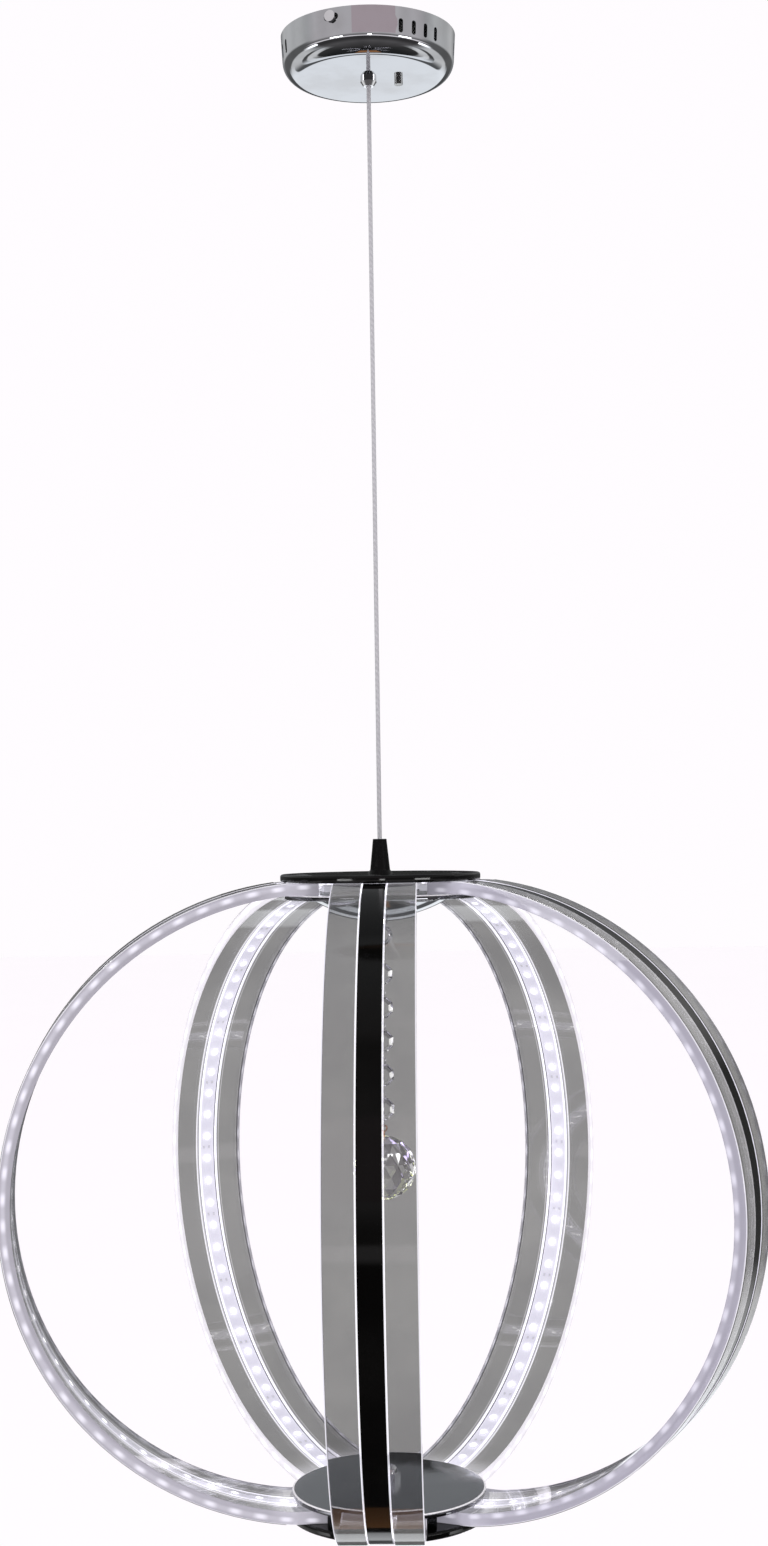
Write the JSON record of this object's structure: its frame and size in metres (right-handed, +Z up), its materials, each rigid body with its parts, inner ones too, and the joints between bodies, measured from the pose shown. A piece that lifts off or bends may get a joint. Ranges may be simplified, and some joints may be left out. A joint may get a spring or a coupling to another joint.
{
  "type": "led pendant chandelier",
  "caption": "Globe-shaped LED pendant: curved clear acrylic light bands between two round plates, a crystal strand inside, hung on a thin cable from a chrome ceiling canopy.",
  "frame": {"origin": "middle of the ceiling face, between the two ceiling slots of the bracket plate", "axes": "+Z up into the ceiling, the lamp hangs along -Z, -Y is the front with the front band, +X is its right"},
  "size_m": [0.4896, 0.4751, 0.974],
  "materials": {
    "acrylic": "clear polished acrylic, edge lit",
    "smoke": "translucent grey film, glossy",
    "cover": "black gloss strip",
    "tape": "white flexible circuit",
    "chip": "lit white light-emitting chip",
    "black_plate": "black gloss",
    "chrome": "mirror polished",
    "steel": "zinc plated",
    "black_plastic": "satin black moulding",
    "cable": "clear jacket over pale cores",
    "white_plastic": "white moulding",
    "board": "white circuit board",
    "crystal": "clear cut crystal",
    "copper": "copper coloured wire"
  },
  "bodies": {
    "canopy": {"ceiling_bracket": "steel", "canopy_cup": "chrome", "side_screws": "chrome", "led_driver": "white_plastic", "terminal_block": "white_plastic", "driver_lead": "cable", "cable_entry": "cable", "cable_gland": "chrome", "gland_nut": "steel", "earth_bolt": "steel"},
    "cable": {"hanging_cable": "cable"},
    "cage": {"cable_cone": "black_plastic", "cable_tail": "cable", "hub_nipple": "steel", "hub_spacer": "steel", "nipple_nut": "steel", "top_plate": "black_plate", "wiring_board": "board", "hub_connectors": "white_plastic", "top_inner_plate": "chrome", "dome_cup": "chrome", "hook": "chrome", "top_pivot_screws": "steel", "bottom_inner_plate": "chrome", "bottom_spacer": "steel", "bottom_plate": "black_plate", "bottom_bolt": "steel", "cap_nut": "chrome", "bottom_pivot_screws": "steel"},
    "rib_1": {"rib_1_acrylic": "acrylic", "rib_1_cover_strip": "cover", "rib_1_led_tape": "tape", "rib_1_led_chips": "chip", "rib_1_smoke_film": "smoke"},
    "rib_2": {"rib_2_acrylic": "acrylic", "rib_2_cover_strip": "cover", "rib_2_led_tape": "tape", "rib_2_led_chips": "chip", "rib_2_smoke_film": "smoke"},
    "rib_3": {"rib_3_acrylic": "acrylic", "rib_3_cover_strip": "cover", "rib_3_led_tape": "tape", "rib_3_led_chips": "chip", "rib_3_smoke_film": "smoke"},
    "rib_4": {"rib_4_acrylic": "acrylic", "rib_4_cover_strip": "cover", "rib_4_led_tape": "tape", "rib_4_led_chips": "chip", "rib_4_smoke_film": "smoke"},
    "rib_5": {"rib_5_acrylic": "acrylic", "rib_5_cover_strip": "cover", "rib_5_led_tape": "tape", "rib_5_led_chips": "chip", "rib_5_smoke_film": "smoke"},
    "strand": {"hook_rings": "chrome", "bead_pins": "chrome", "crystal_beads": "crystal", "ball_pin": "copper", "crystal_ball": "crystal"}
  },
  "joints": [
    {"name": "cable_swing", "type": "hinge", "parent": "canopy", "child": "cable", "pos_m": [0, 0, -0.0315], "axis": [0, 1, 0], "range_deg": [-12, 12]},
    {"name": "cage_tilt", "type": "hinge", "parent": "cable", "child": "cage", "pos_m": [0, 0, -0.535], "axis": [1, 0, 0], "range_deg": [-10, 10]},
    {"name": "rib_1_turn", "type": "hinge", "parent": "cage", "child": "rib_1", "pos_m": [-0.00324, -0.0529, -0.76502], "axis": [0, 0, 1], "range_deg": [-16, 12]},
    {"name": "rib_2_turn", "type": "hinge", "parent": "cage", "child": "rib_2", "pos_m": [0.04931, -0.01943, -0.76502], "axis": [0, 0, 1], "range_deg": [-10.7, 17.3]},
    {"name": "rib_3_turn", "type": "hinge", "parent": "cage", "child": "rib_3", "pos_m": [0.03371, 0.0409, -0.76502], "axis": [0, 0, 1], "range_deg": [-23.1, 4.9]},
    {"name": "rib_4_turn", "type": "hinge", "parent": "cage", "child": "rib_4", "pos_m": [-0.02848, 0.0447, -0.76502], "axis": [0, 0, 1], "range_deg": [-14.8, 13.2]},
    {"name": "rib_5_turn", "type": "hinge", "parent": "cage", "child": "rib_5", "pos_m": [-0.05131, -0.01327, -0.76502], "axis": [0, 0, 1], "range_deg": [-5.7, 22.3]},
    {"name": "strand_swing", "type": "hinge", "parent": "cage", "child": "strand", "pos_m": [0, 0, -0.6016], "axis": [1, 0, 0], "range_deg": [-20, 20]}
  ]
}
